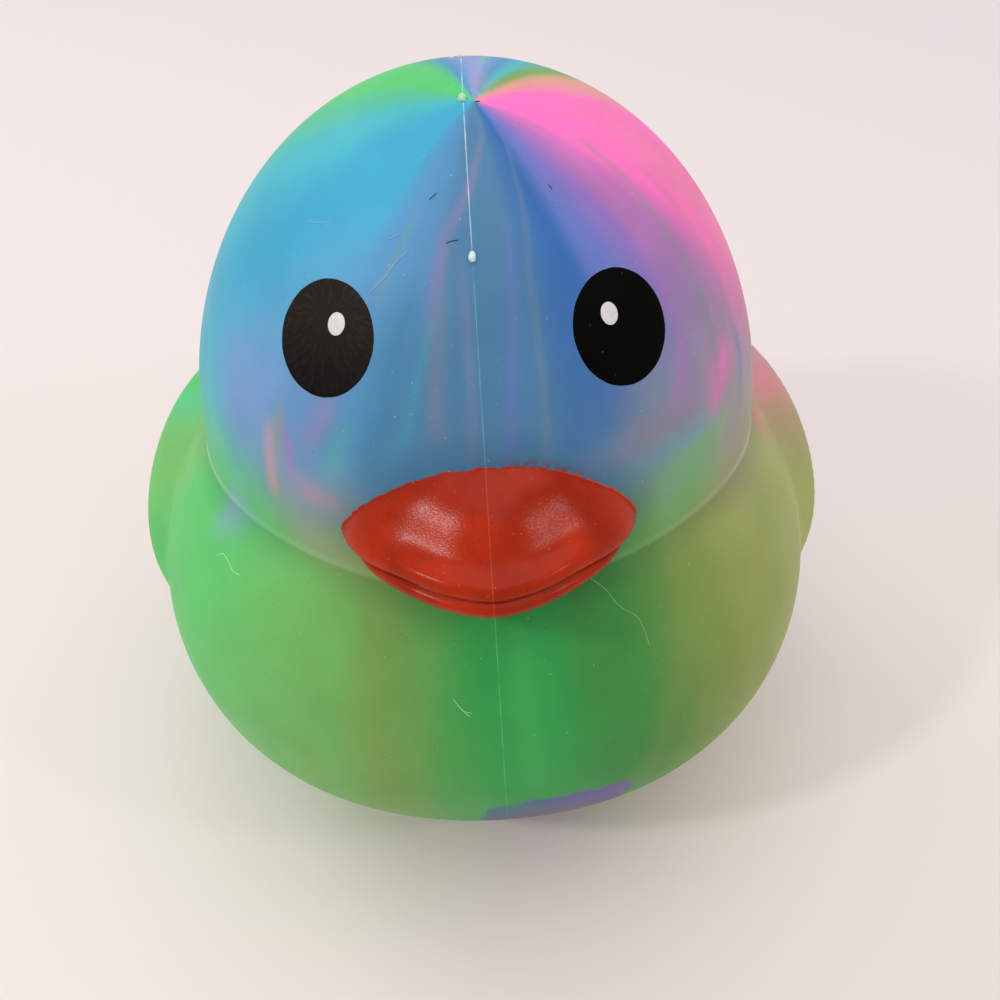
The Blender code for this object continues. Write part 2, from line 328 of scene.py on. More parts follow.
# thin streams: (pigment, half width, strength, path of (azimuth, elevation)) down the flow
threads = [
    ("umber", 2.6, 0.34, [(11, 83), (1, 79), (-6, 74), (-13, 70), (-14, 66), (-13, 60), (-12, 46)]),
    ("violet", 2.2, 0.30, [(-2, 78), (-9, 73), (-15, 69), (-16, 60)]),
    ("petrol", 2.4, 0.40, [(10, 80), (1, 74), (-1, 70), (-2, 60), (-3, 46)]),
    ("smoke", 1.3, 0.28, [(30, 82), (22, 76), (19, 71), (15, 65), (14, 60), (13, 50), (12, 42)]),
    ("indigo", 1.6, 0.45, [(11, 71), (9, 64), (6, 54), (4, 44)]),
    ("mauve", 1.5, 0.18, [(-7, 66), (-5, 59), (-4, 53), (-4, 44)]),
    ("smoke", 1.8, 0.42, [(74, 77), (71, 70), (68, 64), (67, 56), (64, 46), (61, 38)]),
    ("umber", 2.0, 0.20, [(82, 70), (79, 60), (76, 50), (72, 38)]),
    ("orchid", 1.8, 0.25, [(55, 62), (54, 54), (52, 46), (49, 37)]),
    ("petrol", 1.5, 0.45, [(-21, 63), (-23, 58), (-24, 50), (-27, 41)]),
    ("teal", 1.4, 0.22, [(-15, 60), (-17, 53), (-19, 45)]),
    ("moss", 0.9, 0.35, [(-27, 71), (-30, 65), (-31, 62)]),
    ("khaki", 1.1, 0.50, [(-50, 44.5), (-49.6, 41), (-48.6, 36)]),
    ("salmon", 1.6, 0.50, [(-52, 41), (-51.6, 38), (-49.6, 30)]),
    ("orchid", 1.2, 0.45, [(-48.5, 42.5), (-46.5, 40), (-44.8, 35)]),
    ("mauve", 3.2, 0.40, [(-38, 49), (-39, 45), (-42, 41)]),
    ("jade", 2.6, 0.30, [(-33, 46), (-35, 40), (-36, 37)]),
    ("pink", 2.8, 0.42, [(67, 44), (63, 40.5), (58, 37)]),
    ("orchid", 2.6, 0.45, [(52, 49), (49, 45.5), (45, 42)]),
    ("indigo", 1.6, 0.55, [(75, 43), (74, 38), (70, 33)]),
    ("olive", 3.0, 0.28, [(-21, 14), (-21, 3), (-21, -12), (-20, -30)]),
    ("moss", 2.4, 0.25, [(-13, 11), (-14, 0), (-15, -12), (-14, -28)]),
    ("leaf", 2.6, 0.18, [(4, 11), (4, 0), (5, -14), (6, -20)]),
    ("leaf", 3.0, 0.25, [(-30, 14), (-31, 2), (-30, -14), (-28, -28)]),
    ("forest", 2.6, 0.35, [(21, 16), (22, 2), (20, -12), (19, -20)]),
    ("olive", 2.6, 0.30, [(36, 12), (33, 0), (29, -12), (26, -26)]),
    ("moss", 2.2, 0.30, [(67, 14), (64, 4), (58, -6), (50, -16)]),
    ("rose", 1.6, 0.45, [(-170, 80), (-169.5, 62), (-170.5, 44)]),
    ("spring", 2.0, 0.45, [(174, 84), (171, 66), (169, 50), (166, 32)]),
    ("cobalt", 2.2, 0.45, [(152, 78), (151, 60), (150, 42), (149.5, 24)]),
    ("salmon", 2.4, 0.50, [(-164, 24), (-163.6, 8), (-162.6, -10), (-161, -26)]),
    ("spring", 3.0, 0.45, [(150, 20), (151, 4), (152.4, -12), (154, -28)]),
    ("straw", 2.4, 0.45, [(-118, 14), (-116, 0), (-118, -20)]),
    ("leaf", 2.4, 0.40, [(104, 4), (106, -8), (108, -26)]),
]

streamForm = {
    "gateX": 0.8,
    "gateY": -7.2,
    "ringSoftness": 0.6,  # 0 blends neighbouring pours evenly, 1 in a smooth step
    "bend": 2.2,  # degrees that the streams wander
    "fineComb": 0.7,  # share of the finer comb of streaks in the coarse one
    "bodyStray": 0.6,  # share of the wandering that is left on the body
    "pinch": 0.26,  # how far the streams draw together towards the face
    "pinchTop": 75,
    "pinchFall": 30,
    "pinchSides": (100, 150),  # azimuths over which it dies away
    "turnsGreen": (20, 44),  # elevations over which the body's pours give way to the head's
    "softEnd": 3,
    "stirred": 0.5,
    "stirredElevation": (84, 90),
    "stirredAzimuth": (20, 80),
}
skinGrain = {
    "orangePeel": 0.5,
    "speck": 1.05,
    "darkSpeckShift": (0.011, 0.007, 0.013),
    "partingDrift": 0.0155,  # sideways, for each mm down
    "partingTop": 80.0,
    "partingWidth": 0.13,
    "crownFrom": 77.0,  # where the parting line starts to stand out
    "crownTo": 81.0,
}
rubberColours = {
    # colour of the painted sheen on the head's rim
    "rimSheen": "#E4E6DA",
    "parting": "#CFE6E2",
    "dust": "#C4DCE2",
    "darkSpeck": "#2C4656",
}
basePatch = {
    # a tongue of another pour that came through at the foot
    "right": -4.6,
    "left": 24.0,
    "top": -23.6,
    "taper": 3.4,  # how much lower its right end starts
    "taperEnd": 4.0,
    "ragged": 1.3,
    "raggedSize": 4.0,
    "softTop": 0.5,
    "softSide": 0.4,
    "colours": ["#346F7E", "#56658A", "#665E98"],
    "slateFull": 9.0,
    "violetFrom": 7.0,
    "violetFull": 18.0,
    # painted shade: the patch darkens towards the bottom edge, where the body turns under
    "edge": "#6C566A",
    "edgeShare": 0.65,
    "edgeFrom": -27.0,
    "edgeFull": -31.0,
}


def flowAngles(points):
    # azimuth round the gate and elevation from the core, in degrees
    sideways = points[:, 0] - streamForm["gateX"]
    forward = streamForm["gateY"] - points[:, 1]
    azimuth = np.degrees(np.arctan2(sideways, forward))
    aim = points - core
    elevation = np.degrees(np.arcsin(aim[:, 2] / np.linalg.norm(aim, axis=1)))
    return azimuth, elevation


def ringColour(azimuth, ring):
    # the pour met at an azimuth, softened between neighbours
    turns = np.array([turn for turn, _ in ring] + [180.0])
    colours = np.array([linear(pigments[name])[:3] for _, name in ring + ring[:1]])
    azimuth = np.clip(azimuth, -180, 180)
    lower = np.clip(np.searchsorted(turns, azimuth, side="right") - 1, 0, len(ring) - 1)
    share = (azimuth - turns[lower]) / (turns[lower + 1] - turns[lower])
    soft = streamForm["ringSoftness"]
    share = share * (1 - soft + soft * share * (3 - 2 * share))
    return colours[lower] + (colours[lower + 1] - colours[lower]) * share[:, None]


def lay(colour, pigment, mask):
    return colour + (np.array(linear(pigments[pigment])[:3]) - colour) * mask[:, None]


def streamColours(azimuth, elevation):
    s = streamForm
    bend = s["bend"] * np.sin(np.radians(elevation * 4.3 + azimuth * 2))
    coarse = np.sin(np.radians(azimuth * 17 + elevation * 3))
    fine = np.sin(np.radians(azimuth * 31 - elevation * 4))
    comb = coarse + s["fineComb"] * fine
    stray = bend + comb
    below = np.clip((s["pinchTop"] - elevation) / s["pinchFall"], 0, 1)
    pinch = below * (1 - smoothStep(*s["pinchSides"], np.abs(azimuth)))
    onHead = ringColour(azimuth * (1 - s["pinch"] * pinch) + stray, headRing)
    onBody = ringColour(azimuth + s["bodyStray"] * stray, bodyRing)
    turned = smoothStep(*s["turnsGreen"], elevation + bend + comb)
    colour = onBody + (onHead - onBody) * turned[:, None]
    for pigment, turn, height, halfWidth, halfHeight, lean, strength in pours:
        across = (azimuth + stray - turn - lean * (elevation - height) + 180) % 360 - 180
        gauge = (across / halfWidth) ** 2 + ((elevation + bend - height) / halfHeight) ** 2
        colour = lay(colour, pigment, strength * np.exp(-0.5 * gauge**1.3))
    for pigment, halfWidth, strength, path in threads:
        turns, heights = (np.array(values, float) for values in zip(*path[::-1]))
        across = (azimuth - np.interp(elevation, heights, turns) + 180) % 360 - 180
        begun = smoothStep(heights[0] - s["softEnd"], heights[0] + s["softEnd"], elevation)
        ended = smoothStep(heights[-1] - s["softEnd"], heights[-1] + s["softEnd"], elevation)
        wide = np.exp(-((across / halfWidth) ** 2))
        colour = lay(colour, pigment, strength * begun * (1 - ended) * wide)
    # close round the gate the pours towards +X are stirred together
    high = smoothStep(*s["stirredElevation"], elevation)
    stirred = s["stirred"] * high * smoothStep(*s["stirredAzimuth"], azimuth)
    return lay(colour, "ash", stirred)


def mathNode(tree, operation, *values):
    # values are numbers or sockets, in the order of the node's inputs
    settings = {i: v for i, v in enumerate(values) if isinstance(v, (int, float))}
    links = {i: v for i, v in enumerate(values) if not isinstance(v, (int, float))}
    return addNode(tree, "ShaderNodeMath", {"operation": operation, **settings}, links).outputs[0]


def rangeNode(tree, value, low, high, toLow=0.0, toHigh=1.0):
    limits = {"From Min": low, "From Max": high, "To Min": toLow, "To Max": toHigh}
    return addNode(tree, "ShaderNodeMapRange", limits, {0: value}).outputs[0]


def bandNode(tree, value, outerLow, innerLow, innerHigh, outerHigh):
    # 1 between the inner limits, falling to 0 at the outer ones
    rising = rangeNode(tree, value, outerLow, innerLow)
    falling = rangeNode(tree, value, outerHigh, innerHigh)
    return mathNode(tree, "MULTIPLY", rising, falling)


def vectorNode(tree, operation, vector, by=(0, 0, 0)):
    settings = {"operation": operation, 1: by}
    return addNode(tree, "ShaderNodeVectorMath", settings, {0: vector}).outputs[0]


def noiseNode(tree, vector, size, detail=2.0):
    settings = {"Scale": 1 / size, "Detail": detail}
    return addNode(tree, "ShaderNodeTexNoise", settings, {"Vector": vector}).outputs[0]


def cellNodes(tree, vector, size):
    # the distance to the middle of the nearest cell, and the numbers drawn for that cell
    cells = addNode(tree, "ShaderNodeTexVoronoi", {"Scale": 1 / size}, {"Vector": vector})
    drawn = addNode(tree, "ShaderNodeSeparateColor", links={0: cells.outputs["Color"]})
    return cells.outputs["Distance"], drawn.outputs


def partsNode(tree, vector):
    return addNode(tree, "ShaderNodeSeparateXYZ", links={0: vector}).outputs


def attributeNode(tree, name, output="Fac"):
    return addNode(tree, "ShaderNodeAttribute", {"attribute_name": name}).outputs[output]


def bumpNode(tree, shader, height, strength):
    settings = {"Strength": strength, "Distance": 0.05 * mm}
    bump = addNode(tree, "ShaderNodeBump", settings, {"Height": height})
    tree.links.new(bump.outputs[0], shader.inputs["Normal"])


def mixNode(tree, share, first, second):
    # colours are hex strings or sockets
    settings = {"data_type": "RGBA"}
    settings.update({i: linear(c) for i, c in ((6, first), (7, second)) if isinstance(c, str)})
    links = {i: c for i, c in ((6, first), (7, second)) if not isinstance(c, str)}
    return addNode(tree, "ShaderNodeMix", settings, {0: share, **links}).outputs[2]


def partingMask(tree, position, faintest):
    # the mould's parting line, clearest on the crown, which drifts to the duck's left on its
    # way down
    g = skinGrain
    parts = partsNode(tree, position)
    slope, width = g["partingDrift"], g["partingWidth"]
    drift = mathNode(tree, "MULTIPLY_ADD", parts["Z"], slope, -slope * g["partingTop"] * mm)
    across = mathNode(tree, "ABSOLUTE", mathNode(tree, "ADD", parts["X"], drift))
    line = rangeNode(tree, across, width / 2 * mm, width / 6 * mm)
    crown = rangeNode(tree, parts["Z"], g["crownFrom"] * mm, g["crownTo"] * mm, faintest, 1.0)
    return mathNode(tree, "MULTIPLY", line, crown)


def flowSockets(tree, position):
    # the azimuth and elevation of flowAngles
    gate = (streamForm["gateX"] * mm, streamForm["gateY"] * mm, 0)
    parts = partsNode(tree, vectorNode(tree, "SUBTRACT", position, gate))
    forward = mathNode(tree, "MULTIPLY", parts["Y"], -1.0)
    turn = mathNode(tree, "ARCTAN2", parts["X"], forward)
    fromCore = vectorNode(tree, "SUBTRACT", position, tuple(core * mm))
    aim = partsNode(tree, vectorNode(tree, "NORMALIZE", fromCore))
    climb = mathNode(tree, "ARCSINE", aim["Z"])
    return mathNode(tree, "DEGREES", turn), mathNode(tree, "DEGREES", climb)


def addBasePatch(tree, position, colour):
    p = basePatch
    azimuth, elevation = flowSockets(tree, position)
    right, left, top, soft = p["right"], p["left"], p["top"], p["softSide"]
    wander = noiseNode(tree, position, p["raggedSize"] * mm, 3.0)
    ragged = rangeNode(tree, wander, 0.3, 0.7, -p["ragged"], p["ragged"])
    taper = rangeNode(tree, azimuth, right, p["taperEnd"], p["taper"], 0.0)
    shore = mathNode(tree, "ADD", mathNode(tree, "ADD", elevation, ragged), taper)
    below = rangeNode(tree, shore, top + p["softTop"], top - p["softTop"])
    side = mathNode(tree, "ADD", azimuth, ragged)
    between = bandNode(tree, side, right - soft, right + soft, left - soft, left + soft)
    inside = mathNode(tree, "MULTIPLY", below, between)
    blue, slate, violet = p["colours"]
    first = mixNode(tree, rangeNode(tree, azimuth, right, p["slateFull"]), blue, slate)
    turning = rangeNode(tree, azimuth, p["violetFrom"], p["violetFull"])
    across = mixNode(tree, turning, first, violet)
    # painted shade: darker towards the bottom edge, where the body turns under
    edge = rangeNode(tree, shore, p["edgeFrom"], p["edgeFull"], 0.0, p["edgeShare"])
    edged = mixNode(tree, edge, across, p["edge"])
    return mixNode(tree, inside, colour, edged)


def addSpecks(tree, position, colour, size, share, tint, strength):
    # dust: one speck in some of the cells
    distance, drawn = cellNodes(tree, position, skinGrain["speck"] * mm)
    spot = rangeNode(tree, distance, size, size * 0.5, 0.0, strength)
    some = mathNode(tree, "LESS_THAN", drawn[0], share)
    uneven = mathNode(tree, "MULTIPLY", some, rangeNode(tree, drawn[1], 0.0, 1.0, 0.2, 1.0))
    return mixNode(tree, mathNode(tree, "MULTIPLY", spot, uneven), colour, tint)


def makeRubber():
    material, tree, shader = newMaterial("marbled_slush_moulded_pvc")
    position = addNode(tree, "ShaderNodeTexCoord").outputs["Object"]
    side = partsNode(tree, position)["X"]
    colour = attributeNode(tree, "flow", "Color")
    gap = attributeNode(tree, "billGap")
    over = attributeNode(tree, "headOverBody")
    cloudy = rangeNode(tree, noiseNode(tree, position, 7 * mm, 4.0), 0.3, 0.7, 0.94, 1.05)
    # painted shade: the rubber is darkened in the crease over the bill
    cloudy = mathNode(tree, "MULTIPLY", cloudy, rangeNode(tree, gap, 0.2, 3.2, 0.82, 1.0))
    # and painted shade darkens the neck crease
    neckCreaseShade = bandNode(tree, over, -2.2, 0.0, 0.0, 0.35)
    cloudy = mathNode(tree, "MULTIPLY", cloudy, rangeNode(tree, neckCreaseShade, 0.0, 1.0, 1.0, 0.80))
    shaded = {"Value": cloudy, "Color": colour}
    colour = addNode(tree, "ShaderNodeHueSaturation", links=shaded).outputs[0]
    colour = addBasePatch(tree, position, colour)
    # painted sheen: a pale rim along the head where the cheeks hang over the body, strongest at the cheeks
    cheekSheen = rangeNode(tree, mathNode(tree, "ABSOLUTE", side), 24 * mm, 28.5 * mm, 0.06, 0.24)
    rimSheen = mathNode(tree, "MULTIPLY", bandNode(tree, over, 0.0, 0.15, 0.3, 0.8), cheekSheen)
    colour = mixNode(tree, rimSheen, colour, rubberColours["rimSheen"])
    # enamel that crept and misted past the bill's edge
    grit = noiseNode(tree, position, 0.45 * mm, 3.0)
    sprayed = bandNode(tree, side, 0.5 * mm, 3 * mm, 7 * mm, 11 * mm)
    near = rangeNode(tree, gap, 1.0, 0.0, 0.0, 0.9)
    near = mathNode(tree, "MULTIPLY", near, rangeNode(tree, grit, 0.34, 0.58))
    colour = mixNode(tree, mathNode(tree, "MULTIPLY", near, sprayed), colour, billColours["mist"])
    uneven = rangeNode(tree, noiseNode(tree, position, 0.8 * mm, 4.0), 0.30, 0.70, -0.12, 0.16)
    crept = rangeNode(tree, mathNode(tree, "SUBTRACT", gap, uneven), 0.10, 0.02)
    scarlet = rangeNode(tree, side, 6 * mm, 7.5 * mm)
    enamel = mixNode(tree, scarlet, billColours["paint"], billColours["creep"])
    colour = mixNode(tree, crept, colour, enamel)
    parting = partingMask(tree, position, 0.25)
    uneven = rangeNode(tree, noiseNode(tree, position, 2.5 * mm, 4.0), 0.38, 0.62, 0.10, 0.80)
    faint = mathNode(tree, "MULTIPLY", parting, uneven)
    colour = mixNode(tree, faint, colour, rubberColours["parting"])
    colour = addSpecks(tree, position, colour, 0.075, 0.75, rubberColours["dust"], 0.50)
    shifted = vectorNode(tree, "ADD", position, skinGrain["darkSpeckShift"])
    colour = addSpecks(tree, shifted, colour, 0.08, 0.40, rubberColours["darkSpeck"], 0.60)
    tree.links.new(colour, shader.inputs["Base Color"])
    rough = rangeNode(tree, noiseNode(tree, position, 9 * mm, 3.0), 0.3, 0.7, 0.44, 0.60)
    tree.links.new(rough, shader.inputs["Roughness"])
    peel = noiseNode(tree, position, skinGrain["orangePeel"] * mm, 3.0)
    relief = mathNode(tree, "MULTIPLY_ADD", parting, 1.0, mathNode(tree, "MULTIPLY", peel, 0.5))
    bumpNode(tree, shader, relief, 0.18)
    shader.inputs["Specular IOR Level"].default_value = 0.22
    shader.inputs["Subsurface Weight"].default_value = 0.12
    shader.inputs["Subsurface Radius"].default_value = (1.0, 1.0, 1.0)
    shader.inputs["Subsurface Scale"].default_value = 1.2 * mm
    shader.inputs["Sheen Weight"].default_value = 0.04
    shader.inputs["Sheen Roughness"].default_value = 0.4
    return material


billForm = {
    "width": 26.4,
    "reach": 11.7,
    "rootForward": 28.3,
    "rootDepth": 5.0,
    "mouthHeight": 58.0,
    "outlinePower": 1.65,
    "rise": 7.0,
    "lip": 1.5,
    "overhang": 0.42,
    "depth": 3.6,
    "groove": 0.7,
    # (share of the outline, height at the tip, height at the corners), heights as shares of
    # the rise and then of the lip
    "upperProfile": [(0.22, 0.94, 0.98), (0.42, 0.80, 0.87), (0.60, 0.57, 0.70), (0.75, 0.31, 0.46)],
    "lipProfile": [(0.85, 1.12, 1.35), (0.93, 0.98, 0.10)],
    # (share of the outline, share of the depth)
    "lowerProfile": [(0.99, 0.10), (1.0, 0.26), (0.96, 0.55), (0.80, 0.86), (0.5, 1.0), (0.0, 1.0)],
    "cornersStart": 0.62,
    "shift": 0.40,  # the bill sits a little to the duck's left
    "cornerWidth": 0.085,
    "cornerTuck": 0.03,
    "segments": 48,
    "gapLimit": 6.0,  # the skin's distance from the bill is worked out no farther than this
    "gapBehind": -18.0,
}
billColours = {
    "paint": "#B02900",
    "worn": "#901D00",
    "seam": "#D8623C",
    "fleck": "#C85A3A",
    "pit": "#5E1607",
    "creep": "#E22A14",
    "mist": "#6A3238",
}


def makeBillPaint():
    # brushed acrylic enamel over the moulding: half gloss, orange-red, with grit in it
    material, tree, shader = newMaterial("orange_red_toy_enamel")
    position = addNode(tree, "ShaderNodeTexCoord").outputs["Object"]
    blotch = rangeNode(tree, noiseNode(tree, position, 5 * mm, 4.0), 0.35, 0.70)
    colour = mixNode(tree, blotch, billColours["paint"], billColours["worn"])
    distance, drawn = cellNodes(tree, position, 0.6 * mm)
    spot = rangeNode(tree, distance, 0.17, 0.08, 0.0, 0.6)
    fleck = mathNode(tree, "MULTIPLY", spot, mathNode(tree, "GREATER_THAN", drawn[0], 0.80))
    pit = mathNode(tree, "MULTIPLY", spot, mathNode(tree, "LESS_THAN", drawn[0], 0.22))
    colour = mixNode(tree, fleck, colour, billColours["fleck"])
    colour = mixNode(tree, pit, colour, billColours["pit"])
    parting = partingMask(tree, position, 0.75)
    colour = mixNode(tree, mathNode(tree, "MULTIPLY", parting, 0.42), colour, billColours["seam"])
    tree.links.new(colour, shader.inputs["Base Color"])
    grain = noiseNode(tree, position, 0.20 * mm, 3.0)
    tree.links.new(rangeNode(tree, grain, 0.3, 0.7, 0.17, 0.28), shader.inputs["Roughness"])
    relief = mathNode(tree, "ADD", grain, parting)
    bumpNode(tree, shader, relief, 0.30)
    shader.inputs["Specular IOR Level"].default_value = 0.15
    return material


def billStations():
    # (share of the outline, height at the tip, height at the corners): the upper bill from its
    # top down, then the groove and the lower bill on to the middle of the underside
    f = billForm
    upperEdge = 1 - f["overhang"] / f["reach"]
    groove = upperEdge - f["groove"] / f["reach"]
    rise, lip, depth = f["rise"], f["lip"], f["depth"]
    upper = [(0.0, rise, rise)]
    for share, tip, corner in f["upperProfile"]:
        upper.append((share, rise * tip, rise * corner))
    for share, tip, corner in f["lipProfile"]:
        upper.append((share, lip * tip, lip * corner))
    upper.append((upperEdge, lip * 0.45, -lip * 0.60))
    upper.append((upperEdge - 0.01, lip * 0.05, -lip * 0.95))
    lower = [(groove, 0.0, -lip)]
    for share, height in f["lowerProfile"]:
        lower.append((share, -depth * height, -depth * (0.45 + 0.6 * height)))
    return upper, lower


def billPoint(angle, share, tip, corner, upper):
    # a point of the bill, in millimetres; angle 0 is its tip
    f = billForm
    power = 2 / f["outlinePower"]
    aside = abs(math.sin(angle)) ** power
    reach = f["reach"] if math.cos(angle) > 0 else -f["rootDepth"]
    forward = abs(math.cos(angle)) ** power * reach
    cornered = float(smoothStep(f["cornersStart"], 1.0, abs(math.sin(angle))))
    # the upper bill hides the lower one at the corners
    wider = 1 + (f["cornerWidth"] if upper else -f["cornerTuck"]) * cornered * share**4
    across = math.copysign(aside, math.sin(angle)) * f["width"] / 2 * share * wider
    height = tip + (corner - tip) * cornered
    return Vector((f["shift"] + across, -f["rootForward"] - forward * share, f["mouthHeight"] + height)) * mm


def makeBill():
    f = billForm
    bm = bmesh.new()
    upper, lower = billStations()
    stations = upper + lower
    rings = []
    for share, tip, corner in stations[1:-1]:
        isUpper = len(rings) < len(upper) - 1
        ring = bmesh.ops.create_circle(bm, segments=f["segments"], radius=1.0)["verts"]
        for place, vert in enumerate(ring):
            angle = 2 * math.pi * place / f["segments"]
            vert.co = billPoint(angle, share, tip, corner, isUpper)
        rings.append(ring)
    loops = [[bm.edges.get((ring[i - 1], ring[i])) for i in range(len(ring))] for ring in rings]
    for loop, following in zip(loops, loops[1:]):
        bmesh.ops.bridge_loops(bm, edges=loop + following)
    for ring, (_, height, _) in ((rings[0], stations[0]), (rings[-1], stations[-1])):
        pole = bmesh.ops.poke(bm, faces=[bm.faces.new(ring)])["verts"][0]
        pole.co = Vector((f["shift"], -f["rootForward"], f["mouthHeight"] + height)) * mm
    bmesh.ops.recalc_face_normals(bm, faces=bm.faces)
    piece = newPiece("bill", bm, makeBillPaint())
    smoother = piece.modifiers.new("round", "SUBSURF")
    smoother.levels = 2
    smoother.render_levels = 2
    return piece


def markBillGap(mesh, points, bill):
    # how far each point of the skin lies from the bill, in millimetres, less than 0 inside it
    whole = bmesh.new()
    whole.from_object(bill, bpy.context.evaluated_depsgraph_get())
    tree = BVHTree.FromBMesh(whole)
    whole.free()
    limit = billForm["gapLimit"]
    gaps = np.full(len(points), limit)
    for index in np.flatnonzero(points[:, 1] < billForm["gapBehind"]):
        place = Vector(points[index]) * mm
        near, outward, _, distance = tree.find_nearest(place, limit * mm)
        if near is not None:
            gaps[index] = math.copysign(distance / mm, (place - near).dot(outward))
    attribute = mesh.attributes.new("billGap", "FLOAT", "POINT")
    attribute.data.foreach_set("value", gaps)


def makeSkin(bill):
    bm = bmesh.new()
    segments, rings = skinForm["segments"], skinForm["rings"]
    bmesh.ops.create_uvsphere(bm, u_segments=segments, v_segments=rings, radius=1.0)
    piece = newPiece("duck_skin", bm, makeRubber())
    aim = readCo(piece.data)
    aim /= np.linalg.norm(aim, axis=1, keepdims=True)
    points = skinPoints(aim)
    writeCo(piece.data, points * mm)
    colours = streamColours(*flowAngles(points))
    attribute = piece.data.color_attributes.new("flow", "FLOAT_COLOR", "POINT")
    opaque = np.ones((len(colours), 1))
    attribute.data.foreach_set("color", np.hstack([colours, opaque]).ravel())
    markBillGap(piece.data, points, bill)
    head, body = headAndBody(aim)
    overhang = piece.data.attributes.new("headOverBody", "FLOAT", "POINT")
    overhang.data.foreach_set("value", np.clip(head - body, -5, 5))
    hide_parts("duck_body")


makeSkin(makeBill())
print("skin and bill done")

eyeForm = {
    "places": {"right_eye": (-12.95, -22.2, 73.8), "left_eye": (12.47, -22.35, 73.55)},
    "width": 9.45,
    "height": 10.2,
    "proud": 0.06,
    "glintWidth": 1.95,
    "glintHeight": 2.35,
    "glintIn": 0.62,
    "glintUp": 2.55,
    "glintForward": 0.6,
    "glintProud": 0.10,
    "ragged": 0.004,
    "wrinkleFineness": 17,
    "wrinkleBreaks": 5,  # how quickly they change on their way out
    "wrinklesUp": 0.35,  # where they start, above the eye's middle, in half heights
}
eyeColours = {
    "black": "#040403",
    # colour of the painted sheen on the duck's right eye
    "paintedSheen": "#241F1B",
    "ridge": "#2E2925",
    "speck": "#5E5A55",
    "white": "#DAD6D4",
    "wornWhite": "#CFCBC9",
}


def makeEyePaint():
    # pad-printed black ink, dried matt: fine wrinkles run out from the glint, and the duck's
    # right eye carries a painted sheen, lighter towards its top
    material, tree, shader = newMaterial("matt_black_pad_print_ink")
    position = addNode(tree, "ShaderNodeTexCoord").outputs["Object"]
    wrinkles = noiseNode(tree, attributeNode(tree, "spokes", "Vector"), 1.0, 3.0)
    parts = partsNode(tree, position)
    # painted sheen: the window's reflection in the duck's right eye, as brown-grey ink strongest at its top
    onRight = rangeNode(tree, parts["X"], 2 * mm, -2 * mm)
    high = rangeNode(tree, parts["Z"], 68 * mm, 75 * mm, 0.25, 1.0)
    paintedSheen = mathNode(tree, "MULTIPLY", onRight, high)
    grey = mixNode(tree, rangeNode(tree, wrinkles, 0.45, 0.68), eyeColours["paintedSheen"], eyeColours["ridge"])
    colour = mixNode(tree, paintedSheen, eyeColours["black"], grey)
    colour = addSpecks(tree, position, colour, 0.09, 0.4, eyeColours["speck"], 0.5)
    tree.links.new(colour, shader.inputs["Base Color"])
    grain = mathNode(tree, "MULTIPLY", noiseNode(tree, position, 0.3 * mm), 0.5)
    bumpNode(tree, shader, mathNode(tree, "ADD", wrinkles, grain), 0.4)
    shader.inputs["Roughness"].default_value = 0.45
    shader.inputs["Specular IOR Level"].default_value = 0.03
    return material


def makeGlintPaint():
    material, tree, shader = newMaterial("white_pad_print_ink")
    position = addNode(tree, "ShaderNodeTexCoord").outputs["Object"]
    worn = rangeNode(tree, noiseNode(tree, position, 0.4 * mm, 3.0), 0.35, 0.65)
    colour = mixNode(tree, worn, eyeColours["white"], eyeColours["wornWhite"])
    tree.links.new(colour, shader.inputs["Base Color"])
    shader.inputs["Roughness"].default_value = 0.5
    return material


def makePatch(name, place, width, height, proud, material):
    # a thin lens of ink that follows the head, with a slightly uneven edge
    bm = bmesh.new()
    bmesh.ops.create_uvsphere(bm, u_segments=96, v_segments=24, radius=1.0)
    piece = newPiece(name, bm, material)
    lens = readCo(piece.data)
    centre = dropOnSkin(np.array([place]), [0.0])[0]
    outward = centre - np.array(skinForm["headCentre"])
    outward = Vector(outward / (np.array(skinForm["headSize"]) / 2) ** 2).normalized()
    sideways = Vector((0, 0, 1)).cross(outward).normalized()
    upwards = outward.cross(sideways)
    angle = np.arctan2(lens[:, 1], lens[:, 0])
    waver = 0.5 * np.sin(11 * angle + place[0]) + 0.3 * np.sin(23 * angle + 1.7)
    waver = waver + 0.2 * np.sin(41 * angle)
    ragged = 1 + eyeForm["ragged"] * waver
    across = lens[:, 0] * ragged * width / 2
    up = lens[:, 1] * ragged * height / 2
    points = centre + across[:, None] * np.array(sideways) + up[:, None] * np.array(upwards)
    writeCo(piece.data, dropOnSkin(points, lens[:, 2] * proud) * mm)
    # spokes round a point above the middle, for the wrinkles
    fine, breaks = eyeForm["wrinkleFineness"], eyeForm["wrinkleBreaks"]
    high = lens[:, 1] - eyeForm["wrinklesUp"]
    around = np.arctan2(high, lens[:, 0] * 0.9)
    out = np.hypot(high, lens[:, 0])
    spokes = np.stack([np.cos(around) * fine, np.sin(around) * fine, out * breaks], axis=1)
    attribute = piece.data.attributes.new("spokes", "FLOAT_VECTOR", "POINT")
    attribute.data.foreach_set("vector", spokes.ravel())
    return piece


def makeEyes():
    f = eyeForm
    ink, white = makeEyePaint(), makeGlintPaint()
    for name, place in f["places"].items():
        side = 1 if place[0] > 0 else -1
        makePatch(name, place, f["width"], f["height"], f["proud"], ink)
        x, y, z = place
        glint = (x - side * f["glintIn"], y - f["glintForward"], z + f["glintUp"])
        glintSize = (f["glintWidth"], f["glintHeight"], f["glintProud"])
        makePatch(f"{name}_glint", glint, *glintSize, white)


makeEyes()
print("eyes done")

nibForm = {
    "taper": 0.45,
    "tear": 0.16,
}
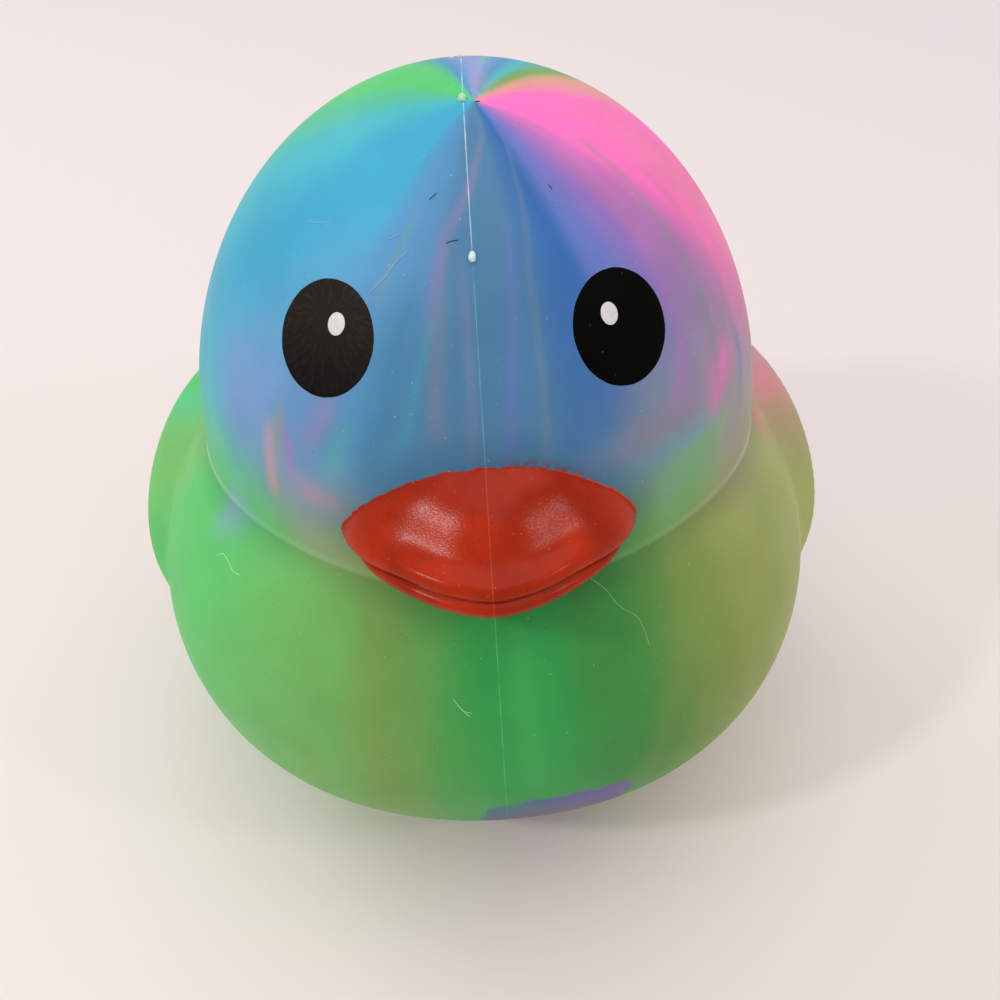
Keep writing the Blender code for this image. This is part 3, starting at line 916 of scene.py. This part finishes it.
# flash left standing where the mould's halves met and at the gate:
# (place, width, length, height, colour)
nibs = {
    "gate_nib": ((-0.2, -6.8, 87.1), 0.70, 0.80, 0.42, "#A9D8BB"),
    "crown_flash": ((-0.25, 3.9, 86.3), 0.26, 0.40, 0.30, "#C9D6D8"),
    "crown_flash_small": ((-0.95, 3.7, 86.2), 0.45, 0.28, 0.16, "#C9D6D8"),
    "brow_nib": ((0.0, -20.6, 79.9), 0.56, 0.90, 0.34, "#C8DEE0"),
}
fibreForm = {
    "stepsBetween": 8,
    "smoothings": 6,
    "lift": 0.6,  # height of its middle over the skin, as a share of its radius
}
# fibres and scuffs on the duck: (radius, colour, points that lead it)
fibres = {
    "lint_under_bill": (
        0.024,
        "#9CC79E",
        [
            (9.6, -31.6, 51.6), (11.1, -31.8, 50.3), (12.1, -32.6, 48.8),
            (14.2, -32.9, 47.4), (15.2, -34.3, 44.7),
        ],
    ),
    "lint_on_neck": (
        0.04,
        "#B4DDB4",
        [
            (-27.3, -22.4, 47.7), (-26.3, -22.9, 48.5), (-25.7, -23.9, 48.3),
            (-25.3, -25.0, 47.9), (-24.4, -25.6, 48.1),
        ],
    ),
    "hair_on_brow": (0.04, "#2A2A55", [(-2.1, -19.7, 80.5), (-1.6, -19.6, 80.6), (-1.1, -19.6, 80.7)]),
    "hair_on_crown": (0.035, "#262A4A", [(-3.3, -16.6, 82.9), (-2.7, -16.2, 83.2)]),
    "hair_by_gate": (0.05, "#4A3A62", [(0.9, -7.4, 87.0), (1.3, -7.35, 87.0)]),
    "hair_on_temple": (0.035, "#262A4A", [(6.65, -15.15, 83.0), (6.95, -15.5, 82.8)]),
    "scuff_on_temple": (
        0.025,
        "#8DC3DD",
        [(-13.9, -14.1, 80.1), (-12.9, -14.9, 80.2), (-11.7, -15.3, 80.4)],
    ),
    "scuff_on_brow": (0.04, "#8DB0D2", [(-6.8, -18.6, 80.5), (-6.3, -18.5, 80.6), (-5.9, -18.4, 80.7)]),
    "scuff_over_eye": (
        0.03,
        "#9DB4D8",
        [(-8.6, -21.3, 77.4), (-7.2, -20.8, 78.5), (-6.6, -20.3, 79.2), (-5.3, -19.7, 80.0)],
    ),
    "smear_on_breast": (
        0.05,
        "#93CE9C",
        [(-3.8, -37.8, 42.5), (-3.2, -38.2, 41.5), (-2.4, -38.5, 40.7)],
    ),
    "lint_on_breast": (
        0.025,
        "#BFDDB8",
        [(-3.4, -38.0, 41.9), (-2.9, -38.3, 41.2), (-2.2, -38.5, 41.0)],
    ),
}


def makePlain(name, colour, roughness):
    material, tree, shader = newMaterial(name)
    position = addNode(tree, "ShaderNodeTexCoord").outputs["Object"]
    shade = rangeNode(tree, noiseNode(tree, position, 0.6 * mm), 0.3, 0.7, 0.9, 1.1)
    tint = addNode(tree, "ShaderNodeHueSaturation", {"Color": linear(colour)}, {"Value": shade})
    tree.links.new(tint.outputs[0], shader.inputs["Base Color"])
    shader.inputs["Roughness"].default_value = roughness
    return material


def makeNibs():
    # torn stubs of rubber, paler than the skin because they are thin
    for name, (place, width, length, height, colour) in nibs.items():
        bm = bmesh.new()
        bmesh.ops.create_icosphere(bm, subdivisions=3, radius=1.0)
        rubber = makePlain(f"torn_rubber_{name}", colour, 0.5)
        piece = newPiece(name, bm, rubber)
        form = readCo(piece.data)
        torn = 1 + nibForm["tear"] * np.sin(5 * form[:, :1] + 7 * form[:, 2:])
        form[:, :2] *= (1 - nibForm["taper"] * form[:, 1:2]) * torn
        root = dropOnSkin(np.array([place]), [0.0])[0]
        turn = Vector((0, 0, 1)).rotation_difference(Vector(root - core)).to_matrix()
        form = form * np.array([width / 2, length / 2, height])
        writeCo(piece.data, (root + form @ np.array(turn).T) * mm)


def makeFibres():
    for name, (radius, colour, path) in fibres.items():
        # in even steps from point to point, then smoothed and laid on the skin
        spans = len(path) - 1
        steps = np.linspace(0, spans, fibreForm["stepsBetween"] * spans + 1)
        axes = [np.interp(steps, range(len(path)), axis) for axis in np.array(path).T]
        points = np.stack(axes, axis=1)
        for _ in range(fibreForm["smoothings"]):
            points[1:-1] = (points[:-2] + 2 * points[1:-1] + points[2:]) / 4
        points = dropOnSkin(points, np.full(len(points), radius * fibreForm["lift"]))
        curve = bpy.data.curves.new(name, "CURVE")
        curve.dimensions = "3D"
        curve.bevel_depth = radius * mm
        curve.bevel_resolution = 1
        curve.use_fill_caps = True
        spline = curve.splines.new("POLY")
        spline.points.add(len(points) - 1)
        for point, place in zip(spline.points, points):
            point.co = (*(place * mm), 1)
        curve.materials.append(makePlain(f"{name}_fibre", colour, 0.7))
        piece = bpy.data.objects.new(name, curve)
        bpy.context.scene.collection.objects.link(piece)
        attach(piece, "root")


makeNibs()
makeFibres()
print("flash and lint done")


squeakerColours = {"plain": "#E6E4DC", "cloudy": "#DAD8CF"}


def makeSqueaker():
    # injection moulded polypropylene, natural white: waxy, a little see-through
    material, tree, shader = newMaterial("natural_white_polypropylene")
    position = addNode(tree, "ShaderNodeTexCoord").outputs["Object"]
    cloudy = rangeNode(tree, noiseNode(tree, position, 3 * mm), 0.3, 0.7)
    colour = mixNode(tree, cloudy, squeakerColours["plain"], squeakerColours["cloudy"])
    tree.links.new(colour, shader.inputs["Base Color"])
    tree.links.new(rangeNode(tree, cloudy, 0.0, 1.0, 0.30, 0.45), shader.inputs["Roughness"])
    bumpNode(tree, shader, noiseNode(tree, position, 0.2 * mm), 0.1)
    shader.inputs["IOR"].default_value = 1.49
    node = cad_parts["squeaker"]
    node.data.materials.clear()
    node.data.materials.append(material)


makeSqueaker()
print("squeaker done")

camera = {
    "fov": 50.0,
    "target": (1.951, -7.9, 39.384),
    "distance": 125.234,
    "elevation": 44.279,
    "turn": -1.443,
    "roll": -1.831,
}
stageColours = {"near": "#E8DCD6", "far": "#E8DCDB"}


def makeStage():
    material, tree, shader = newMaterial("painted_board")
    position = addNode(tree, "ShaderNodeTexCoord").outputs["Object"]
    along = rangeNode(tree, partsNode(tree, position)["Y"], -80 * mm, 160 * mm)
    colour = mixNode(tree, along, stageColours["near"], stageColours["far"])
    tree.links.new(colour, shader.inputs["Base Color"])
    shader.inputs["Roughness"].default_value = 0.65
    bm = bmesh.new()
    bmesh.ops.create_grid(bm, x_segments=1, y_segments=1, size=3.0)
    mesh = bpy.data.meshes.new("floor")
    bm.to_mesh(mesh)
    bm.free()
    mesh.materials.append(material)
    floor = bpy.data.objects.new("floor", mesh)
    bpy.context.scene.collection.objects.link(floor)


# (place, size) in metres and power in watts
lights = {
    "window": ((-0.44, -0.25, 0.50), 0.05, 0.88),
    "second_window": ((0.46, -0.26, 0.46), 0.05, 0.32),
    "back_window": ((-0.40, 0.34, 0.52), 0.30, 0.70),
    "ceiling": ((0.06, -0.04, 0.85), 0.80, 2.35),
}
lightAim = (0, 0, 0.03)


def makeLights():
    for name, (place, size, power) in lights.items():
        data = bpy.data.lights.new(name, "AREA")
        data.size = size
        data.energy = power
        light = bpy.data.objects.new(name, data)
        light.location = place
        outward = Vector(lightAim) - Vector(place)
        light.rotation_euler = outward.to_track_quat("-Z", "Y").to_euler()
        bpy.context.scene.collection.objects.link(light)


def makeCamera():
    up, turn, roll = (math.radians(camera[key]) for key in ("elevation", "turn", "roll"))
    back = Vector((math.sin(turn) * math.cos(up), -math.cos(turn) * math.cos(up), math.sin(up)))
    right = (-back).cross(Vector((0, 0, 1))).normalized()
    over = right.cross(-back)
    across = right * math.cos(roll) + over * math.sin(roll)
    upright = over * math.cos(roll) - right * math.sin(roll)
    data = bpy.data.cameras.new("camera")
    data.angle = math.radians(camera["fov"])
    data.clip_start = 0.01
    eye = bpy.data.objects.new("camera", data)
    place = (Vector(camera["target"]) + back * camera["distance"]) * mm
    eye.matrix_world = Matrix.Translation(place) @ Matrix((across, upright, back)).transposed().to_4x4()
    bpy.context.scene.collection.objects.link(eye)
    bpy.context.scene.camera = eye


def makeWorld():
    world = bpy.data.worlds.new("room")
    world.use_nodes = True
    background = world.node_tree.nodes["Background"]
    background.inputs["Color"].default_value = linear("#FFFFFF")
    background.inputs["Strength"].default_value = 0.64
    bpy.context.scene.world = world


makeStage()
makeLights()
makeCamera()
makeWorld()
bpy.context.scene.view_settings.view_transform = "Standard"
print("stage done")
